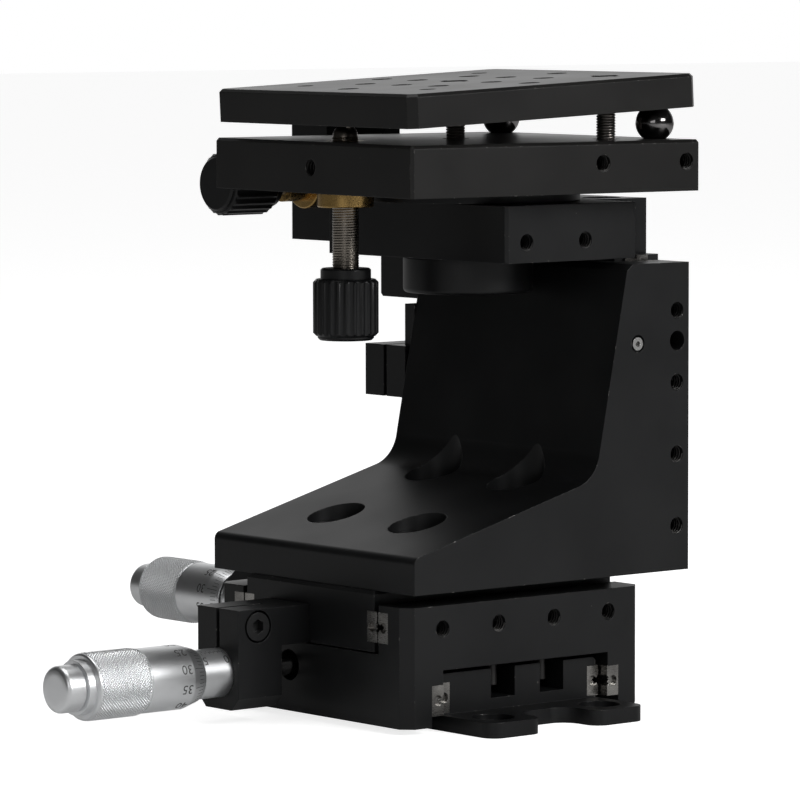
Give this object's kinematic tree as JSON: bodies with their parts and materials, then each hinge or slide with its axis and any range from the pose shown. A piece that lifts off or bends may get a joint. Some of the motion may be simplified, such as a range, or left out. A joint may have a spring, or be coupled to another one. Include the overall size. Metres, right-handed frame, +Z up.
{
  "type": "multi-axis positioning stage",
  "caption": "Crossed roller X and Y slides carry an L bracket with a vertical slide, a rotary table and a tilting top plate, each set by its own screw.",
  "frame": {"origin": "underside of the base, under the middle of the cross block as shown", "axes": "X along the upper slide, Y along the lower slide, Z up from the bench"},
  "size_m": [0.1294, 0.1267, 0.1243],
  "materials": {
    "black_anodised": "satin black anodised, bright at worn edges",
    "rail_steel": "ground steel",
    "bright_steel": "polished",
    "satin_chrome": "satin chrome",
    "brass": "turned brass",
    "black_screws": "black oxide"
  },
  "bodies": {
    "base": {"base_block": "black_anodised", "base_rails": "rail_steel", "y_holder": "black_anodised", "y_clamp_screw": "black_screws", "y_sleeve": "satin_chrome", "return_springs": "bright_steel"},
    "y_cage": {"y_roller_cages": "brass"},
    "cross": {"cross_block": "black_anodised", "cross_lower_rails": "rail_steel", "cross_upper_rails": "rail_steel", "cross_preload_screws": "black_screws", "x_anvil": "bright_steel", "y_anvil": "bright_steel", "return_posts": "bright_steel"},
    "x_cage": {"x_roller_cages": "brass"},
    "x_carriage": {"upper_slide": "black_anodised", "upper_slide_rails": "rail_steel", "l_bracket": "black_anodised", "bracket_screws": "black_screws", "bracket_side_screw": "bright_steel", "bracket_rails": "rail_steel", "z_preload_screws": "black_screws", "x_holder": "black_anodised", "x_clamp_screw": "black_screws", "x_sleeve": "satin_chrome", "z_holder": "black_anodised", "z_holder_screws": "black_screws", "z_clamp_screw": "black_screws", "z_sleeve": "satin_chrome"},
    "z_cage": {"z_roller_cages": "brass"},
    "lift": {"z_carriage": "black_anodised", "z_carriage_rails": "rail_steel", "arm": "black_anodised", "arm_screws": "black_screws", "z_stop": "black_anodised", "z_stop_screw": "black_screws", "turn_bracket": "black_anodised", "turn_bracket_screws": "black_screws", "turn_bush": "brass", "plunger_body": "black_screws"},
    "plunger": {"plunger_nose": "bright_steel"},
    "table": {"table_spindle": "black_anodised", "hub_cap": "black_anodised", "lower_plate": "black_anodised", "tilt_bush": "brass", "tilt_balls": "bright_steel", "lower_spring_pins": "bright_steel", "tilt_springs": "bright_steel"},
    "tilt_plate": {"top_plate": "black_anodised", "upper_spring_pins": "bright_steel"},
    "x_screw": {"x_spindle": "bright_steel"},
    "x_drum": {"x_thimble": "satin_chrome"},
    "y_screw": {"y_spindle": "bright_steel"},
    "y_drum": {"y_thimble": "satin_chrome"},
    "z_screw": {"z_spindle": "bright_steel"},
    "z_drum": {"z_thimble": "satin_chrome"},
    "turn_feed": {"turn_screw": "bright_steel"},
    "turn_grip": {"turn_knob": "black_anodised"},
    "tilt_feed": {"tilt_screw": "bright_steel"},
    "tilt_grip": {"tilt_knob": "black_anodised"}
  },
  "joints": [
    {"name": "y_slide", "type": "slide", "parent": "base", "child": "cross", "axis": [0, 1, 0], "range_m": [-0.0044, 0.0086]},
    {"name": "y_cage_roll", "type": "slide", "parent": "base", "child": "y_cage", "axis": [0, 1, 0], "range_m": [-0.00221, 0.00431]},
    {"name": "y_screw_travel", "type": "slide", "parent": "base", "child": "y_screw", "axis": [0, 1, 0], "range_m": [-0.00441, 0.00861]},
    {"name": "y_thimble_turn", "type": "hinge", "parent": "y_screw", "child": "y_drum", "pos_m": [-0.0064, 0.06, 0.017], "axis": [0, -1, 0], "range_deg": [-6200, 3176]},
    {"name": "x_slide", "type": "slide", "parent": "cross", "child": "x_carriage", "axis": [1, 0, 0], "range_m": [-0.0065, 0.0065]},
    {"name": "x_cage_roll", "type": "slide", "parent": "cross", "child": "x_cage", "axis": [1, 0, 0], "range_m": [-0.00326, 0.00326]},
    {"name": "x_screw_travel", "type": "slide", "parent": "x_carriage", "child": "x_screw", "axis": [1, 0, 0], "range_m": [-0.00651, 0.00651]},
    {"name": "x_thimble_turn", "type": "hinge", "parent": "x_screw", "child": "x_drum", "pos_m": [-0.06, 0.0065, 0.0102], "axis": [1, 0, 0], "range_deg": [-4688, 4688]},
    {"name": "z_slide", "type": "slide", "parent": "x_carriage", "child": "lift", "axis": [0, 0, 1], "range_m": [-0.0005, 0.0125]},
    {"name": "z_cage_roll", "type": "slide", "parent": "x_carriage", "child": "z_cage", "axis": [0, 0, 1], "range_m": [-0.00026, 0.00626]},
    {"name": "z_screw_travel", "type": "slide", "parent": "x_carriage", "child": "z_screw", "axis": [0, 0, 1], "range_m": [-0.00051, 0.01251]},
    {"name": "z_thimble_turn", "type": "hinge", "parent": "z_screw", "child": "z_drum", "pos_m": [0.033, 0.0387, 0.04], "axis": [0, 0, 1], "range_deg": [-368, 9008]},
    {"name": "table_turn", "type": "hinge", "parent": "lift", "child": "table", "pos_m": [0.01, 0, 0.1], "axis": [0, 0, 1], "range_deg": [-2.9, 1.3]},
    {"name": "turn_screw_travel", "type": "slide", "parent": "lift", "child": "turn_feed", "axis": [1, 0, 0], "range_m": [-0.00101, 0.00224]},
    {"name": "plunger_travel", "type": "slide", "parent": "lift", "child": "plunger", "axis": [1, 0, 0], "range_m": [-0.00101, 0.00224]},
    {"name": "turn_knob_turn", "type": "hinge", "parent": "turn_feed", "child": "turn_grip", "pos_m": [-0.012, 0.044, 0.1019], "axis": [1, 0, 0], "range_deg": [-728, 1612]},
    {"name": "tilt_screw_travel", "type": "slide", "parent": "table", "child": "tilt_feed", "axis": [0, 0, 1], "range_m": [-0.00145, 0.00483]},
    {"name": "plate_tilt", "type": "hinge", "parent": "table", "child": "tilt_plate", "pos_m": [0.03609, -0.00251, 0.11452], "axis": [0.0854, 0.9963, 0], "range_deg": [-1.48, 4.98]},
    {"name": "tilt_knob_turn", "type": "hinge", "parent": "tilt_feed", "child": "tilt_grip", "pos_m": [-0.0191, 0.00222, 0.08], "axis": [0, 0, 1], "range_deg": [-1035, 3476]}
  ],
  "couplings": [
    {"joint": "y_thimble_turn", "follows": "y_slide", "rad_per_m": -12566},
    {"joint": "y_cage_roll", "follows": "y_slide", "ratio": 0.5},
    {"joint": "y_screw_travel", "follows": "y_slide", "ratio": 1},
    {"joint": "x_thimble_turn", "follows": "x_slide", "rad_per_m": -12566},
    {"joint": "x_cage_roll", "follows": "x_slide", "ratio": 0.5},
    {"joint": "x_screw_travel", "follows": "x_slide", "ratio": -1},
    {"joint": "z_thimble_turn", "follows": "z_slide", "rad_per_m": 12566},
    {"joint": "z_cage_roll", "follows": "z_slide", "ratio": 0.5},
    {"joint": "z_screw_travel", "follows": "z_slide", "ratio": 1},
    {"joint": "turn_knob_turn", "follows": "table_turn", "ratio": -552.92},
    {"joint": "turn_screw_travel", "follows": "table_turn", "m_per_rad": -0.044},
    {"joint": "plunger_travel", "follows": "table_turn", "m_per_rad": -0.044},
    {"joint": "tilt_knob_turn", "follows": "plate_tilt", "ratio": 696.18},
    {"joint": "tilt_screw_travel", "follows": "plate_tilt", "m_per_rad": 0.0554}
  ]
}
